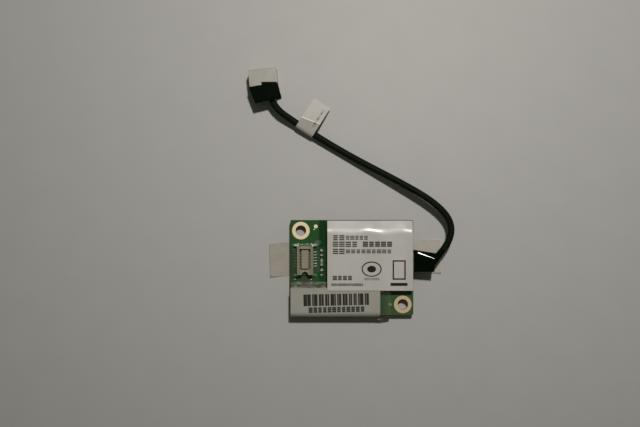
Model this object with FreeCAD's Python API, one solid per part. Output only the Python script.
# A laptop modem daughter card with its short two-wire line lead.
# The card lies with its labels up: X runs along the board, Y across it, Z is up, and the origin is under the
# middle of the board, on the surface that the card lies on. All sizes are in millimetres.
import FreeCAD, Part
import math
import os

V = FreeCAD.Vector
UP = V(0, 0, 1)

# Circuit board
board_length = 35.0
board_width = 27.0
board_thickness = 1.0
board_corner_radius = 0.4
hole_inset = 3.0
hole_diameter = 3.0
ring_diameter = 5.0
plating_thickness = 0.05
upper_pad_diameter = 1.1
lower_pad_diameter = 0.9
upper_pad_gap = 1.2
lower_pad_share = 0.786

# Clear film strip under the card
film_thickness = 0.1
film_width = 9.7
film_offset = 2.7
film_angle = 1.3
film_left_tail = 6.0
film_right_tail = 8.2
left_curl_radius = 23.0
right_curl_radius = 56.0

# Moulded parts and chips under the board
underside_height = 1.3
modem_chip_size = 7.0
modem_chip_standoff = 0.1
modem_lead_pitch = 0.8
modem_leads_per_side = 8
modem_lead_width = 0.37
modem_lead_reach = 1.0
modem_chip_x = -1.5
modem_chip_y = 2.7
pillar_length = 3.2
pillar_width = 2.5
pillar_inset = 4.6

# Board connector
connector_length = 8.1
connector_width = 4.6
connector_height = 2.0
connector_inset = 4.2
connector_y = 2.05
connector_wall = 0.75
connector_end_wall = 0.75
connector_key_wall = 1.45
connector_floor = 0.5
tongue_width = 1.9
tongue_end_gap = 0.35
tongue_drop = 0.25
contact_pitch = 0.8
contacts_per_row = 6
contact_width = 0.25
contact_thickness = 0.12
contact_foot = 0.7
contact_clearance = 0.04
key_notch_radius = 0.95
anchor_width = 1.3
anchor_overhang = 0.9
anchor_foot = 0.65
anchor_height = 1.1

# Levels that the two labels lie on, above the board's top face
label_seat = 2.4
barcode_seat = 2.2

# Product label
label_length = 23.9
label_right_inset = 0.6
label_back_inset = 0.2
label_flat = 15.7
label_thickness = 0.1
label_bend_radius = 5.0
label_bend_angle = 24.0
label_lip = 2.15

# Barcode label and the clear film laid over it
barcode_share = 0.723
barcode_left_inset = 0.12
barcode_flat = 6.95
barcode_bend_radius = 1.2
barcode_edge_gap = 0.3
barcode_skirt = 1.5
cover_thickness = 0.06
cover_right_reach = 3.3
cover_right_droop = 16.0
cover_droop_radius = 5.0
cover_connector_gap = 0.6
cover_bend_share = 0.18
cover_slope_share = 0.4

# Line header on the board's right edge
header_y = 1.5
header_setback = 0.2
header_depth = 4.6
header_width = 6.4
header_wall = 0.55
header_floor = 0.3
header_roof = 0.6
header_back = 0.8
header_pin = 0.4
header_pin_pitch = 2.5
header_pin_reach = 2.6
header_tail = 0.8
header_tab_width = 1.4
header_tab_reach = 0.6

# Plug on the card's end of the lead
plug_clearance = 0.06
plug_inside_wrap = 1.9
plug_channel = 0.9
terminal_wall = 0.14
terminal_clearance = 0.03
terminal_length = 3.4

# Black tape wrapped round that plug
wrap_gap = 0.2
wrap_length = 5.8
wrap_north = 3.1
wrap_south = 2.8
wrap_over = 0.4
wrap_edge = 0.5
wrap_ridge_start = 1.6
wrap_ridge_turn = -22.0
wrap_ridge_slope = 38.0
wrap_neck_radius = 1.2
wrap_neck_root = 4.8

# Lead: its route from the tape on the card's plug to the tape on the jack's plug
cable_diameter = 1.9
cable_route = [
    (25.6, 4.8, 3.45),
    (27.85, 7.7, 3.5),
    (28.35, 12.5, 3.4),
    (25.2, 17.0, 3.7),
    (18.0, 22.0, 3.7),
    (-2.8, 32.9, 1.2),
    (-17.2, 42.0, 2.2),
    (-21.1, 45.3, 3.2),
    (-22.3, 47.6, 3.4),
]
arc_share = 0.45

# Paper flag folded round the lead
flag_place = 0.75
flag_run = 5
flag_width = 5.5
flag_clearance = 0.1
flag_thickness = 0.12
flag_rise = 2.75
flag_rise_angle = 11.0
flag_crease_radius = 0.6
flag_crease_angle = 31.0
flag_tail = 5.9

# Plug on the jack's end of the lead, and the black tape behind it
jack_rear = (-24.9, 51.3)
jack_heading = 96.0
jack_width = 8.0
jack_length = 5.0
jack_height = 4.5
jack_lift = 0.25
jack_channel = 1.3
jack_pitch = 2.0
jack_ways = 3
jack_window_length = 1.6
jack_window_inset = 1.5
jack_window_width = 0.8
jack_lead_in = 0.25
jack_terminal_wall = 0.2
jack_terminal_length = 4.4
jack_wrap_heading = 106.0
jack_wrap_width = 8.5
jack_wrap_length = 4.65
jack_wrap_height = 4.95
jack_wrap_cover = 0.6
jack_wrap_edge = 0.55
jack_neck_root = 1.9

# Parts on the board under the product label; each inset is measured from the board's right edge
transformer_length = 7.0
transformer_width = 4.4
transformer_inset = 15.9
transformer_y = 2.0
core_thickness = 1.2
core_leg = 0.85
core_window = 1.8
base_height = 0.45
coil_gap = 0.06
transformer_lead_width = 0.6
transformer_lead_reach = 0.9
transformer_lead_pitch = 2.0
arrester_length = 4.4
arrester_width = 3.6
arrester_gap = 0.7
arrester_lead_reach = 0.5
rectifier_length = 4.2
rectifier_width = 3.0
rectifier_height = 2.1
rectifier_inset = 8.5
rectifier_gap = 0.0
rectifier_lead_pitch = 2.0
line_chip_size = 5.0
line_chip_height = 0.85
line_chip_inset = 10.1
line_chip_y = 8.0
fuse_length = 4.5
fuse_width = 3.0
fuse_height = 1.1
fuse_inset = 3.6
fuse_y = 8.0
safety_capacitor_length = 4.4
safety_capacitor_width = 2.0
safety_capacitor_height = 1.9
safety_capacitor_inset = 22.0
safety_capacitor_back = 7.1
safety_capacitor_pitch = 3.0
transistor_length = 2.9
transistor_width = 1.3
transistor_height = 1.0
transistor_insets = [(21.1, -3.4), (15.5, -3.6)]
transistor_lead_width = 0.4
transistor_lead_reach = 0.55

# Parts under the barcode label
tantalum_length = 3.5
tantalum_width = 2.8
tantalum_inset = 3.3
choke_size = 4.2
choke_inset = 13.2
barcode_row_inset = 3.8
choke_base = 0.5
choke_corner = 0.9

# Small chip resistors and capacitors
chip_length = 1.6
chip_width = 0.8
resistor_height = 0.5
capacitor_height = 0.8
chip_end = 0.35
chip_end_step = 0.03
chip_column_gap = 4.7
column_resistors = [4.2, -1.4]
column_capacitor = 1.4
rectifier_resistor_inset = 10.9
rectifier_resistor_gap = 1.45
label_resistor_inset = 5.1
label_resistor_y = 11.2
pad_capacitor_gap = 3.85
pad_capacitor_inset = 1.2
label_capacitor_inset = 2.9
label_capacitor_y = -4.4
barcode_capacitor_inset = 7.8
barcode_capacitor_y = -7.6
underside_shares = [(-0.59, 0.7, 0), (-0.4, 0.7, 0), (0.38, 0.68, 90), (0.54, 0.68, 90),
                    (-0.63, -0.49, 0)]
underside_chip_height = 0.6

# Shared details
lead_thickness = 0.15
lead_bend_share = 1.25
lead_slope_share = 0.4
mould_draft = 0.12

# Levels and edges worked out from the sizes above
board_bottom = film_thickness + underside_height
board_top = board_bottom + board_thickness
board_right = board_length / 2
board_left = -board_right
board_back = board_width / 2
board_front = -board_back
hole_places = [(board_left + hole_inset, board_back - hole_inset),
               (board_right - hole_inset, board_front + hole_inset)]
ring_left = hole_places[1][0] - ring_diameter / 2
upper_pad_x = hole_places[0][0] + ring_diameter / 2 + upper_pad_gap + upper_pad_diameter / 2
connector_x = board_left + connector_inset
pocket_y = (connector_key_wall - connector_end_wall) / 2
pocket_length = connector_length - connector_end_wall - connector_key_wall
chip_column_x = connector_x + chip_column_gap
label_right = board_right - label_right_inset
label_left = label_right - label_length
label_bend = math.radians(label_bend_angle)
label_reach = label_flat + label_bend_radius * math.sin(label_bend) + label_lip * math.cos(label_bend)
label_front = board_back - label_back_inset - label_reach
header_front = board_right - header_setback
header_rear = header_front - header_depth
transformer_x = board_right - transformer_inset
arrester_x = header_rear - header_tail - arrester_gap - arrester_width / 2
rectifier_x = board_right - rectifier_inset
line_chip_x = board_right - line_chip_inset
fuse_x = board_right - fuse_inset
safety_capacitor_x = board_right - safety_capacitor_inset
safety_capacitor_low = board_back - safety_capacitor_back
transistor_places = [(board_right - inset, y) for inset, y in transistor_insets]
barcode_left = board_left + barcode_left_inset
barcode_length = barcode_share * board_length
barcode_right = barcode_left + barcode_length
barcode_fold_y = board_front - barcode_edge_gap + barcode_bend_radius
barcode_back = barcode_fold_y + barcode_flat
connector_front = connector_y - connector_length / 2 - anchor_foot
cover_back_reach = connector_front - cover_connector_gap - barcode_back
barcode_row_y = board_front + barcode_row_inset
rectifier_y = barcode_back + rectifier_gap + rectifier_width / 2
choke_x = barcode_left + choke_inset
tantalum_places = [(barcode_left + tantalum_inset, barcode_row_y),
                   (barcode_right - tantalum_inset, barcode_row_y)]
rectifier_back = barcode_back + rectifier_gap + rectifier_width
resistor_places = [(board_right - rectifier_resistor_inset, rectifier_back + rectifier_resistor_gap, 0),
                   (board_right - label_resistor_inset, label_resistor_y, 0)]
resistor_places += [(chip_column_x, y, 90) for y in column_resistors]
capacitor_places = [(upper_pad_x + pad_capacitor_gap, board_back - pad_capacitor_inset, 90),
                    (board_right - label_capacitor_inset, label_capacitor_y, 90)]
capacitor_places += [(chip_column_x, column_capacitor, 90),
                     (barcode_left + barcode_capacitor_inset, barcode_capacitor_y, 0)]
underside_places = [(x * board_right, y * board_back, turn) for x, y, turn in underside_shares]
cable_radius = cable_diameter / 2
cable_points = [V(*point) for point in cable_route]


def box(low, high):
    """A box between two opposite corners."""
    return Part.makeBox(high[0] - low[0], high[1] - low[1], high[2] - low[2], V(*low))


def centred_box(x, y, bottom, length, width, height):
    """A box standing on a level, centred on a point."""
    return Part.makeBox(length, width, height, V(x - length / 2, y - width / 2, bottom))


def prism(points, sweep):
    """A flat polygon carried along a straight sweep."""
    return Part.Face(Part.makePolygon(points + points[:1])).extrude(sweep)


def fused(shapes):
    """One solid from several that meet, with the seams between them removed."""
    return shapes[0].multiFuse(shapes[1:]).removeSplitter()


def group(shapes):
    """Separate solids kept together in one node."""
    return Part.makeCompound(shapes)


def placed(shape, x, y, z, turn=0.0):
    """A copy of a shape, turned about Z and moved from the origin to its place."""
    copy = shape.copy()
    copy.rotate(V(0, 0, 0), UP, turn)
    copy.translate(V(x, y, z))
    return copy


def under_board(shape, x, y, turn=0.0):
    """A part drawn standing on the origin, hung upside down from the board's lower face."""
    copy = shape.copy()
    copy.rotate(V(0, 0, 0), V(1, 0, 0), 180)
    return placed(copy, x, y, board_bottom, turn)


def heading(degrees, pitch=0.0):
    """A unit direction: degrees counter-clockwise from X, and pitch above the horizontal."""
    a, p = math.radians(degrees), math.radians(pitch)
    return V(math.cos(a) * math.cos(p), math.sin(a) * math.cos(p), math.sin(p))


def folded_sheet(start, along, runs, thickness, across, tilt=0.0):
    """A sheet of even thickness: its lower face follows runs of (length,) or (radius, turn in degrees) from a
    start point, in the plane of along and Z, and the section is carried over the vector across."""

    def at(point, lift, angle):
        u, w = point[0] - lift * math.sin(angle), point[1] + lift * math.cos(angle)
        return start + along * u + UP * w

    angle, point, lower, upper = math.radians(tilt), (0.0, 0.0), [], []
    for run in runs:
        turn = math.radians(run[1]) if len(run) == 2 else 0.0
        side = math.copysign(run[0], turn) if turn else 0.0
        centre = (point[0] - side * math.sin(angle), point[1] + side * math.cos(angle))

        def walked(share):
            a = angle + turn * share
            if not turn:
                return (point[0] + run[0] * share * math.cos(a), point[1] + run[0] * share * math.sin(a)), a
            return (centre[0] + side * math.sin(a), centre[1] - side * math.cos(a)), a

        stations = [walked(share) for share in (0.0, 0.5, 1.0)]
        for edges, lift in ((lower, 0.0), (upper, thickness)):
            a, b, c = [at(p, lift, s) for p, s in stations]
            edges.append(Part.Arc(a, b, c).toShape() if turn else Part.LineSegment(a, c).toShape())
        point, angle = stations[-1]
    caps = [Part.LineSegment(lower[0].Vertexes[0].Point, upper[0].Vertexes[0].Point).toShape(),
            Part.LineSegment(lower[-1].Vertexes[-1].Point, upper[-1].Vertexes[-1].Point).toShape()]
    outline = Part.Wire(Part.__sortEdges__(lower + upper + caps))
    return Part.Face(outline).extrude(across)


def rectangle(x, y, z, length, width):
    """A closed rectangle of wire, centred on a point."""
    sides = ((-1, -1), (1, -1), (1, 1), (-1, 1))
    corners = [V(x + sx * length / 2, y + sy * width / 2, z) for sx, sy in sides]
    return Part.makePolygon(corners + corners[:1])


def moulded_body(length, width, height, standoff=0.0):
    """A moulded package: four sides that draft in, above and below the parting line."""
    middle = (standoff + height) / 2
    narrow = (length - 2 * mould_draft, width - 2 * mould_draft)
    rings = [rectangle(0, 0, standoff, *narrow), rectangle(0, 0, middle, length, width),
             rectangle(0, 0, height, *narrow)]
    return Part.makeLoft(rings, True, True)


def gull_lead(shoulder_height, width, reach, thickness=lead_thickness):
    """A formed lead that leaves a body along +X at a height and ends in a foot on the board."""
    bend = lead_bend_share * thickness
    knee = bend + lead_slope_share * (reach - bend)
    top = shoulder_height + thickness / 2
    points = [(0, top), (bend, top), (knee, thickness), (reach, thickness), (reach, 0), (knee - thickness, 0),
              (bend - thickness, top - thickness), (0, top - thickness)]
    return prism([V(x, -width / 2, z) for x, z in points], V(0, width, 0))


def chip_parts(length, width, height, end):
    """A leadless chip: its ceramic body, and the two plated ends that stand a little proud of it."""
    step = chip_end_step
    body = centred_box(0, 0, step, length - 2 * end, width - 2 * step, height - 2 * step)
    ends = [centred_box(side * (length - end) / 2, 0, 0, end, width, height) for side in (-1, 1)]
    return body, ends


# The board, its plated holes and its bare pads

def make_board():
    slab = centred_box(0, 0, board_bottom, board_length, board_width, board_thickness)
    slab = slab.makeFillet(board_corner_radius, [e for e in slab.Edges if abs(e.tangentAt(0).z) > 0.99])
    for x, y in hole_places:
        drill_radius = hole_diameter / 2 + plating_thickness
        drill = Part.makeCylinder(drill_radius, board_thickness, V(x, y, board_bottom))
        slab = slab.cut(drill)
    return slab


def make_rings():
    """Each plated hole: a barrel through the board with a flange on both faces."""
    inner, outer, flange = hole_diameter / 2, hole_diameter / 2 + plating_thickness, ring_diameter / 2
    low, high = board_bottom - plating_thickness, board_top + plating_thickness
    section = [(inner, low), (flange, low), (flange, board_bottom), (outer, board_bottom), (outer, board_top),
               (flange, board_top), (flange, high), (inner, high)]
    face = Part.Face(Part.makePolygon([V(r, 0, z) for r, z in section + section[:1]]))
    ring = face.revolve(V(0, 0, 0), UP, 360)
    return group([placed(ring, x, y, 0) for x, y in hole_places])


def make_pads():
    """Two round gold pads, one beside each mounting hole."""
    (_, uy), (_, ly) = hole_places
    tantalum_end = tantalum_places[1][0] + tantalum_length / 2
    lower_x = tantalum_end + lower_pad_share * (ring_left - tantalum_end)
    upper_place = V(upper_pad_x, uy + upper_pad_gap, board_top)
    upper = Part.makeCylinder(upper_pad_diameter / 2, plating_thickness, upper_place)
    lower = Part.makeCylinder(lower_pad_diameter / 2, plating_thickness, V(lower_x, ly, board_top))
    return group([upper, lower])


# The board connector

def contact_rows():
    """The Y of each contact in a row, from the connector's middle."""
    return [pocket_y + (i - (contacts_per_row - 1) / 2) * contact_pitch for i in range(contacts_per_row)]


def contact_profile(grow=0.0):
    """One contact in X and Z: a foot outside the housing, a run under its wall, a spring by the tongue."""
    spring = tongue_width / 2 + contact_clearance * 2
    outer = connector_width / 2 + contact_foot
    top = connector_height - tongue_drop - contact_thickness
    t = contact_thickness
    swell = (connector_width / 2 - connector_wall - spring - t) * 0.5
    low, mid = top - 3 * t, top - 2 * t
    return [(outer, -grow), (outer, t + grow), (spring + t + grow, t + grow), (spring + t + grow, low - grow),
            (spring + t + swell + grow, mid), (spring + t + grow, top + grow), (spring - grow, top + grow),
            (spring + swell - grow, mid), (spring - grow, low), (spring - grow, -grow)]


def make_contacts():
    one = prism([V(x, -contact_width / 2, z) for x, z in contact_profile()], V(0, contact_width, 0))
    rows = [placed(one, 0, y, 0, turn) for turn in (0, 180) for y in contact_rows()]
    return placed(group(rows), connector_x, connector_y, board_top)


def make_connector_housing():
    """The housing: a pocket round a tongue, a thicker end wall with a key notch, a slot for each contact."""
    body = centred_box(0, 0, 0, connector_width, connector_length, connector_height)
    moat = centred_box(0, pocket_y, connector_floor, connector_width - 2 * connector_wall, pocket_length,
                       connector_height)
    tongue = centred_box(0, pocket_y, connector_floor, tongue_width, pocket_length - 2 * tongue_end_gap,
                         connector_height - connector_floor - tongue_drop)
    body = body.cut(moat).fuse(tongue)
    notch_place = V(0, -connector_length / 2, connector_floor)
    notch = Part.makeCylinder(key_notch_radius, connector_height, notch_place)
    slot_width = contact_width + 2 * contact_clearance
    slot_outline = [V(x, -slot_width / 2, z) for x, z in contact_profile(contact_clearance)]
    slot = prism(slot_outline, V(0, slot_width, 0))
    slots = [placed(slot, 0, y, 0, turn) for turn in (0, 180) for y in contact_rows()]
    body = body.cut(notch).cut(group(slots)).removeSplitter()
    return placed(body, connector_x, connector_y, board_top)


def make_anchors():
    """Four solder anchors at the corners: an upright against an end wall and a foot on the board."""
    t = lead_thickness
    points = [(0, 0), (anchor_foot, 0), (anchor_foot, t), (t, t), (t, anchor_height), (0, anchor_height)]
    one = prism([V(-anchor_width / 2, u, z) for u, z in points], V(anchor_width, 0, 0))
    x = connector_width / 2 + anchor_overhang - anchor_width / 2
    four = [placed(one, side * end * x, end * connector_length / 2, 0, 0 if end > 0 else 180)
            for side in (-1, 1) for end in (-1, 1)]
    return placed(group(four), connector_x, connector_y, board_top)


# The line header on the board's right edge, and the plug in it

def header_level():
    """The height of the middle of the header's mouth."""
    return board_top + header_floor + header_mouth()[2] / 2


def header_pin_places():
    return [header_y + side * header_pin_pitch / 2 for side in (-1, 1)]


def header_mouth():
    """Length, width and height of the header's open mouth."""
    return header_depth - header_back, header_width - 2 * header_wall, label_seat - header_floor - header_roof


def make_header():
    depth, width, height = header_mouth()
    shell = box((header_rear, header_y - header_width / 2, board_top),
                (header_front, header_y + header_width / 2, board_top + label_seat))
    mouth = box((header_front - depth, header_y - width / 2, board_top + header_floor),
                (header_front, header_y + width / 2, board_top + header_floor + height))
    shell = shell.cut(mouth)
    for y in header_pin_places():
        shell = shell.cut(centred_box(header_rear + header_back / 2, y, header_level() - header_pin / 2,
                                      header_back, header_pin, header_pin))
    return shell


def make_header_pins():
    """Two square pins: through the back wall into the mouth, and down to a foot on the board behind."""
    half = header_pin / 2
    level = header_level() - board_top
    tip = header_rear + header_back + header_pin_reach
    heel = header_rear - header_tail
    t = lead_thickness
    points = [(tip, level - half), (tip, level + half), (header_rear - header_pin, level + half),
              (header_rear - header_pin, t), (heel, t), (heel, 0), (header_rear - half / 2, 0),
              (header_rear - half / 2, level - half)]
    return group([prism([V(x, y - half, board_top + z) for x, z in points], V(0, header_pin, 0))
                  for y in header_pin_places()])


def make_header_tabs():
    """A solder tab against each side wall of the header."""
    t = lead_thickness
    top = label_seat / 2
    points = [(0, 0), (header_tab_reach, 0), (header_tab_reach, t), (t, t), (t, top), (0, top)]
    x = (header_rear + header_front) / 2
    one = prism([V(-header_tab_width / 2, u, z) for u, z in points], V(header_tab_width, 0, 0))
    return group([placed(one, x, header_y + side * header_width / 2, board_top, 0 if side > 0 else 180)
                  for side in (-1, 1)])


def plug_block():
    """The plug's outer block: in the header's mouth with clearance all round, and on into the tape."""
    depth, width, height = header_mouth()
    rear = board_right + wrap_gap + plug_inside_wrap
    return box((header_front - depth + plug_clearance, header_y - width / 2 + plug_clearance,
                header_level() - height / 2 + plug_clearance),
               (rear, header_y + width / 2 - plug_clearance, header_level() + height / 2 - plug_clearance))


def make_plug_housing():
    block = plug_block()
    bounds = block.BoundBox
    for y in header_pin_places():
        block = block.cut(centred_box((bounds.XMin + bounds.XMax) / 2, y, header_level() - plug_channel / 2,
                                      bounds.XLength, plug_channel, plug_channel))
    return block


def make_plug_terminals():
    """A box terminal in each channel of the plug, open at the front for the header's pin."""
    outer = plug_channel - 2 * terminal_clearance
    inner = outer - 2 * terminal_wall
    x = plug_block().BoundBox.XMin + terminal_clearance + terminal_length / 2
    terminals = []
    for y in header_pin_places():
        tube = centred_box(x, y, header_level() - outer / 2, terminal_length, outer, outer)
        hole = centred_box(x, y, header_level() - inner / 2, terminal_length, inner, inner)
        terminals.append(tube.cut(hole))
    return group(terminals)


def neck(inside, end, radius):
    """A round neck of tape from a point inside a wrap to the lead's end face."""
    axis = end - inside
    return Part.makeCylinder(radius, axis.Length, inside, axis)


def make_plug_wrap():
    """Tape round the plug: a block with bevelled edges and a slanting ridge, with a neck out to the lead."""
    left = board_right + wrap_gap
    right = left + wrap_length
    south, north = header_y - wrap_south, header_y + wrap_north
    plug = plug_block()
    top = plug.BoundBox.ZMax + wrap_over
    block = box((left, south, plug.BoundBox.ZMin - wrap_over), (right, north, top))
    block = block.makeChamfer(wrap_edge, [e for e in block.Edges if abs(e.tangentAt(0).x) > 0.99])
    ridge = V(left + wrap_ridge_start, north - wrap_edge, top)
    along, out = heading(wrap_ridge_turn), heading(wrap_ridge_turn + 90)
    reach = wrap_length + wrap_north
    drop = reach * math.tan(math.radians(wrap_ridge_slope))
    start = ridge - along * reach
    wedge = prism([start, start + out * reach, start + out * reach - UP * drop], along * (2 * reach))
    first = (cable_points[1] - cable_points[0]).normalize()
    inside = cable_points[0] - first * wrap_neck_root
    return fused([block.cut(wedge), neck(inside, cable_points[0], wrap_neck_radius)]).cut(plug)


# The lead and what is on it

def make_cable():
    """A round tube along straight runs joined by tangent arcs, each as large as its two runs allow."""
    edges, here = [], cable_points[0]
    for before, corner, after in zip(cable_points, cable_points[1:], cable_points[2:]):
        back, on = before - corner, after - corner
        reach = arc_share * min(back.Length, on.Length)
        back.normalize()
        on.normalize()
        turn = math.pi - back.getAngle(on)
        radius = reach / math.tan(turn / 2)
        inward = (back + on).normalize()
        middle = corner + inward * (radius / math.cos(turn / 2) - radius)
        begin, end = corner + back * reach, corner + on * reach
        edges += [Part.LineSegment(here, begin).toShape(), Part.Arc(begin, middle, end).toShape()]
        print(f"lead bend at {corner.x:.1f}, {corner.y:.1f}: radius {radius:.1f} mm")
        here = end
    edges.append(Part.LineSegment(here, cable_points[-1]).toShape())
    path = Part.Wire(edges)
    ring = Part.Wire(Part.makeCircle(cable_radius, cable_points[0], cable_points[1] - cable_points[0]))
    tube = path.makePipeShell([ring], True, False)
    ideal = math.pi * cable_radius ** 2 * path.Length
    print(f"lead length {path.Length:.1f} mm, volume {tube.Volume / ideal:.4f} of section times length")
    return tube


def make_flag():
    """A paper flag: a sleeve round the lead and a doubled tail that rises off it, creases and falls away."""
    a, b = cable_points[flag_run], cable_points[flag_run + 1]
    along = (b - a).normalize()
    out = along.cross(UP).normalize()
    middle = a + (b - a) * flag_place - along * (flag_width / 2)
    inner = cable_radius + flag_clearance
    outer = inner + flag_thickness
    bore = Part.makeCylinder(inner, flag_width, middle, along)
    sleeve = Part.makeCylinder(outer, flag_width, middle, along).cut(bore)
    start = middle + out.cross(along) * (inner + flag_thickness / 4)
    tail = folded_sheet(start, out, [(flag_rise,), (flag_crease_radius, -flag_crease_angle), (flag_tail,)],
                        2 * flag_thickness, along * flag_width, flag_rise_angle)
    return fused([sleeve, tail.cut(bore)])


def jack_frame(shape, bottom, turn_heading):
    """A shape drawn along +Y from the origin, turned to a heading and set at the back of the jack plug."""
    return placed(shape, jack_rear[0], jack_rear[1], bottom, turn_heading - 90)


def jack_ways_places():
    return [(i - (jack_ways - 1) / 2) * jack_pitch for i in range(jack_ways)]


def jack_block():
    return box((-jack_width / 2, 0, 0), (jack_width / 2, jack_length, jack_height))


def make_jack_housing():
    """The jack plug: a lead-in round the mating face, channels right through, a latch window below each."""
    block = jack_block()
    mating_edges = [e for e in block.Edges if abs(e.CenterOfMass.y - jack_length) < 1e-6]
    block = block.makeChamfer(jack_lead_in, mating_edges)
    for x in jack_ways_places():
        block = block.cut(centred_box(x, jack_length / 2, (jack_height - jack_channel) / 2,
                                      jack_channel, jack_length, jack_channel))
        block = block.cut(centred_box(x, jack_length - jack_window_inset - jack_window_length / 2, 0,
                                      jack_window_width, jack_window_length, jack_height / 2))
    return jack_frame(block, jack_lift, jack_heading)


def make_jack_terminals():
    """A box terminal in the two outer ways; the middle way is empty to keep the line's two sides apart."""
    outer = jack_channel - 2 * terminal_clearance
    inner = outer - 2 * jack_terminal_wall
    tubes = []
    for x in (jack_ways_places()[0], jack_ways_places()[-1]):
        middle = jack_length - terminal_clearance - jack_terminal_length / 2
        tube = centred_box(x, middle, (jack_height - outer) / 2, outer, jack_terminal_length, outer)
        hole = centred_box(x, middle, (jack_height - inner) / 2, inner, jack_terminal_length, inner)
        tubes.append(tube.cut(hole))
    return jack_frame(group(tubes), jack_lift, jack_heading)


def make_jack_wrap():
    """Tape over the back of the jack plug and the wires behind it, with a neck on to the lead."""
    block = box((-jack_wrap_width / 2, jack_wrap_cover - jack_wrap_length, 0),
                (jack_wrap_width / 2, jack_wrap_cover, jack_wrap_height))
    block = block.makeChamfer(jack_wrap_edge, [e for e in block.Edges if abs(e.tangentAt(0).y) > 0.99])
    block = jack_frame(block, 0, jack_wrap_heading)
    last = (cable_points[-1] - cable_points[-2]).normalize()
    inside = cable_points[-1] + last * jack_neck_root
    wrap = fused([block, neck(inside, cable_points[-1], wrap_neck_radius)])
    return wrap.cut(jack_frame(jack_block(), jack_lift, jack_heading))


# Labels and films

def make_label():
    """The product label: flat over the tall parts, and bent down towards the board's back edge."""
    start = V(label_left, label_front, board_top + label_seat)
    runs = [(label_flat,), (label_bend_radius, -label_bend_angle), (label_lip,)]
    return folded_sheet(start, V(0, 1, 0), runs, label_thickness, V(label_length, 0, 0))


def barcode_runs(lift):
    """The barcode label's fold: flat, then down over the board's front edge."""
    return [(barcode_flat,), (barcode_bend_radius + lift, -90.0), (barcode_skirt,)]


def make_barcode_label():
    start = V(barcode_left, barcode_back, board_top + barcode_seat)
    return folded_sheet(start, V(0, -1, 0), barcode_runs(0.0), label_thickness, V(barcode_length, 0, 0))


def make_cover_film():
    """Clear film on the barcode label: it follows the label over the edge, droops past its right end,
    and dips to the board at the back, beside the product label."""
    level = barcode_seat + label_thickness
    start = V(barcode_left, barcode_back, board_top + level)
    over = folded_sheet(start, V(0, -1, 0), barcode_runs(label_thickness), cover_thickness,
                        V(barcode_length, 0, 0))
    bend = cover_droop_radius * math.radians(cover_right_droop)
    droop = [(cover_droop_radius, -cover_right_droop), (cover_right_reach - bend,)]
    right = folded_sheet(V(barcode_right, barcode_fold_y, board_top + level), V(1, 0, 0),
                         droop, cover_thickness, V(0, barcode_flat, 0))
    back = folded_sheet(V(barcode_left, barcode_back, board_top + level), V(0, 1, 0),
                        draped_runs(level, cover_back_reach), cover_thickness,
                        V(label_left - barcode_left - label_thickness, 0, 0))
    return fused([over, right, back])


def draped_runs(drop, reach):
    """Runs of a sheet that dips through a drop within a reach: a bend, a slant, a bend back, a flat foot."""
    tangent, span = cover_bend_share * reach, cover_slope_share * reach
    angle = math.atan2(drop, span)
    radius = tangent / math.tan(angle / 2)
    slant = math.hypot(drop, span) - 2 * tangent
    turn = math.degrees(angle)
    return [(radius, -turn), (slant,), (radius, turn), (reach - span - 2 * tangent,)]


def make_film_strip():
    """The clear strip stuck below the card, flat under it and curling up at both ends."""
    left_turn = math.degrees(film_left_tail / left_curl_radius)
    right_turn = math.degrees(film_right_tail / right_curl_radius)
    middle = folded_sheet(V(board_left, -film_width / 2, 0), V(1, 0, 0),
                          [(board_length,), (right_curl_radius, right_turn)], film_thickness,
                          V(0, film_width, 0))
    left = folded_sheet(V(board_left, film_width / 2, 0), V(-1, 0, 0), [(left_curl_radius, left_turn)],
                        film_thickness, V(0, -film_width, 0))
    return placed(fused([middle, left]), 0, film_offset, 0, film_angle)


# Parts soldered on top of the board

def make_transformer_base():
    return centred_box(transformer_x, transformer_y, board_top, transformer_length, transformer_width,
                       base_height)


def make_transformer_leads():
    one = gull_lead(base_height / 2, transformer_lead_width, transformer_lead_reach)
    leads = [placed(one, x, side * transformer_width / 2, 0, side * 90)
             for side in (-1, 1) for x in (-transformer_lead_pitch, 0, transformer_lead_pitch)]
    return placed(group(leads), transformer_x, transformer_y, board_top)


def core_bottom():
    """The core hangs at half the height that the coil fills."""
    return board_top + base_height + (label_seat - base_height - core_thickness) / 2


def make_transformer_core():
    """A flat three-legged ferrite core, with a window on each side of the middle leg."""
    core = centred_box(transformer_x, transformer_y, core_bottom(), transformer_length, transformer_width,
                       core_thickness)
    for side in (-1, 1):
        x = transformer_x + side * (core_leg + core_window / 2)
        core = core.cut(centred_box(x, transformer_y, core_bottom(), core_window,
                                    transformer_width - 2 * core_leg, core_thickness))
    return core


def make_transformer_coil():
    """The winding: round the middle leg, through both windows, from the base up to the label."""
    half = core_leg + core_window - coil_gap
    length = transformer_width - 2 * core_leg - 2 * coil_gap
    coil = centred_box(transformer_x, transformer_y, board_top + base_height, 2 * half, length,
                       label_seat - base_height)
    bore = centred_box(transformer_x, transformer_y, core_bottom() - coil_gap, 2 * (core_leg + coil_gap),
                       length, core_thickness + 2 * coil_gap)
    edges = [e for e in coil.Edges if abs(e.tangentAt(0).y) > 0.99]
    return coil.makeChamfer((half - core_leg) / 4, edges).cut(bore)


def make_arrester():
    body = moulded_body(arrester_width, arrester_length, label_seat, lead_thickness)
    return placed(body, arrester_x, header_y, board_top)


def make_arrester_leads():
    one = gull_lead(label_seat / 2, arrester_width / 2, arrester_lead_reach)
    leads = [placed(one, 0, side * arrester_length / 2, 0, side * 90) for side in (-1, 1)]
    return placed(group(leads), arrester_x, header_y, board_top)


def make_rectifier():
    return placed(moulded_body(rectifier_length, rectifier_width, rectifier_height, lead_thickness),
                  rectifier_x, rectifier_y, board_top)


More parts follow.
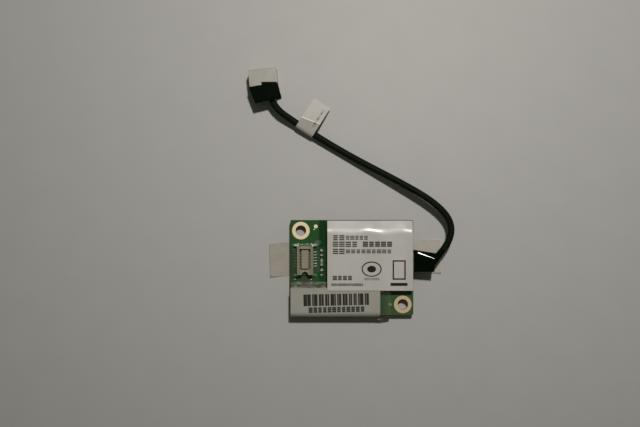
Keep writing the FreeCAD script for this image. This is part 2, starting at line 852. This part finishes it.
def make_rectifier_leads():
    one = gull_lead(rectifier_height / 2, transformer_lead_width, transformer_lead_reach)
    leads = [placed(one, side * rectifier_length / 2, y, 0, 0 if side > 0 else 180)
             for side in (-1, 1) for y in (-rectifier_lead_pitch / 2, rectifier_lead_pitch / 2)]
    return placed(group(leads), rectifier_x, rectifier_y, board_top)


def make_line_chip():
    body = moulded_body(line_chip_size, line_chip_size, line_chip_height)
    return placed(body, line_chip_x, line_chip_y, board_top)


def fuse_solids():
    body, ends = chip_parts(fuse_length, fuse_width, fuse_height, chip_end)
    return placed(body, fuse_x, fuse_y, board_top), [placed(e, fuse_x, fuse_y, board_top) for e in ends]


def safety_capacitor_solids():
    body, ends = chip_parts(safety_capacitor_length, safety_capacitor_width, safety_capacitor_height,
                            chip_end)
    places = [(safety_capacitor_x, safety_capacitor_low + i * safety_capacitor_pitch) for i in range(2)]
    bodies = [placed(body, x, y, board_top) for x, y in places]
    return bodies, [placed(e, x, y, board_top) for x, y in places for e in ends]


def make_transistors():
    body = moulded_body(transistor_length, transistor_width, transistor_height, lead_thickness)
    return group([placed(body, x, y, board_top) for x, y in transistor_places])


def make_transistor_leads():
    """Three leads on each transistor: two on one side and one on the other."""
    one = gull_lead(transistor_height / 2, transistor_lead_width, transistor_lead_reach)
    spread = transistor_length / 3
    trio = [placed(one, x, side * transistor_width / 2, 0, side * 90)
            for x, side in ((-spread, -1), (spread, -1), (0, 1))]
    return group([placed(lead, x, y, board_top) for x, y in transistor_places for lead in trio])


def tantalum_solids():
    """Two moulded capacitors with folded end terminals, as tall as the barcode label's seat."""
    body, ends = chip_parts(tantalum_length, tantalum_width, barcode_seat, chip_end)
    bodies = [placed(body, x, y, board_top) for x, y in tantalum_places]
    return bodies, [placed(e, x, y, board_top) for x, y in tantalum_places for e in ends]


def make_choke_base():
    return centred_box(choke_x, barcode_row_y, board_top, choke_size, choke_size, choke_base)


def make_choke_core():
    """The choke's shielded core: a square block with cut corners on its base."""
    core = centred_box(choke_x, barcode_row_y, board_top + choke_base, choke_size, choke_size,
                       barcode_seat - choke_base)
    return core.makeChamfer(choke_corner, [e for e in core.Edges if abs(e.tangentAt(0).z) > 0.99])


def chip_row(places, height, place=None):
    """Bodies and ends of small chips at places of (x, y, turn), on top of the board unless place differs."""
    place = place or (lambda shape, x, y, turn: placed(shape, x, y, board_top, turn))
    body, ends = chip_parts(chip_length, chip_width, height, chip_end)
    return [place(body, *spot) for spot in places], [place(e, *spot) for spot in places for e in ends]


# Parts soldered below the board

def make_modem_chip():
    body = moulded_body(modem_chip_size, modem_chip_size, underside_height, modem_chip_standoff)
    return under_board(body, modem_chip_x, modem_chip_y)


def make_modem_chip_leads():
    one = gull_lead((modem_chip_standoff + underside_height) / 2, modem_lead_width, modem_lead_reach)
    rows = [(i - (modem_leads_per_side - 1) / 2) * modem_lead_pitch for i in range(modem_leads_per_side)]
    leads = []
    for turn in (0, 90, 180, 270):
        for y in rows:
            lead = placed(one, modem_chip_size / 2, y, 0)
            lead.rotate(V(0, 0, 0), UP, turn)
            leads.append(under_board(lead, modem_chip_x, modem_chip_y))
    return group(leads)


def pillar_solids():
    """Two large ceramic capacitors, as tall as the modem chip, near the board's two short edges."""
    body, ends = chip_parts(pillar_length, pillar_width, underside_height, chip_end)
    places = [(board_left + pillar_inset, modem_chip_y), (board_right - pillar_inset, modem_chip_y)]
    bodies = [under_board(body, x, y) for x, y in places]
    return bodies, [under_board(end, x, y) for x, y in places for end in ends]


def build():
    fuse_body, fuse_ends = fuse_solids()
    safety_bodies, safety_ends = safety_capacitor_solids()
    tantalum_bodies, tantalum_ends = tantalum_solids()
    pillar_bodies, pillar_ends = pillar_solids()
    resistors, resistor_ends = chip_row(resistor_places, resistor_height)
    capacitors, capacitor_ends = chip_row(capacitor_places, capacitor_height)
    lower_chips, lower_ends = chip_row(underside_places, underside_chip_height, under_board)
    return {
        "circuit_board": make_board(),
        "plated_hole_rings": make_rings(),
        "gold_pads": make_pads(),
        "connector_housing": make_connector_housing(),
        "connector_contacts": make_contacts(),
        "connector_anchors": make_anchors(),
        "line_header": make_header(),
        "line_header_pins": make_header_pins(),
        "line_header_tabs": make_header_tabs(),
        "line_plug_housing": make_plug_housing(),
        "line_plug_terminals": make_plug_terminals(),
        "line_plug_wrap": make_plug_wrap(),
        "line_cable": make_cable(),
        "cable_flag": make_flag(),
        "jack_plug_housing": make_jack_housing(),
        "jack_plug_terminals": make_jack_terminals(),
        "jack_plug_wrap": make_jack_wrap(),
        "product_label": make_label(),
        "barcode_label": make_barcode_label(),
        "label_cover_film": make_cover_film(),
        "film_strip": make_film_strip(),
        "transformer_base": make_transformer_base(),
        "transformer_leads": make_transformer_leads(),
        "transformer_core": make_transformer_core(),
        "transformer_coil": make_transformer_coil(),
        "surge_arrester": make_arrester(),
        "surge_arrester_leads": make_arrester_leads(),
        "bridge_rectifier": make_rectifier(),
        "bridge_rectifier_leads": make_rectifier_leads(),
        "line_chip": make_line_chip(),
        "line_fuse": fuse_body,
        "line_fuse_ends": group(fuse_ends),
        "safety_capacitors": group(safety_bodies),
        "safety_capacitor_ends": group(safety_ends),
        "transistors": make_transistors(),
        "transistor_leads": make_transistor_leads(),
        "tantalum_capacitors": group(tantalum_bodies),
        "tantalum_capacitor_ends": group(tantalum_ends),
        "choke_base": make_choke_base(),
        "choke_core": make_choke_core(),
        "chip_resistors": group(resistors),
        "chip_resistor_ends": group(resistor_ends),
        "chip_capacitors": group(capacitors),
        "chip_capacitor_ends": group(capacitor_ends),
        "modem_chip": make_modem_chip(),
        "modem_chip_leads": make_modem_chip_leads(),
        "pillar_capacitors": group(pillar_bodies),
        "pillar_capacitor_ends": group(pillar_ends),
        "underside_chips": group(lower_chips),
        "underside_chip_ends": group(lower_ends),
    }


def main():
    os.makedirs("parts", exist_ok=True)
    for node, shape in build().items():
        shape.exportStep(f"parts/{node}.step")


main()
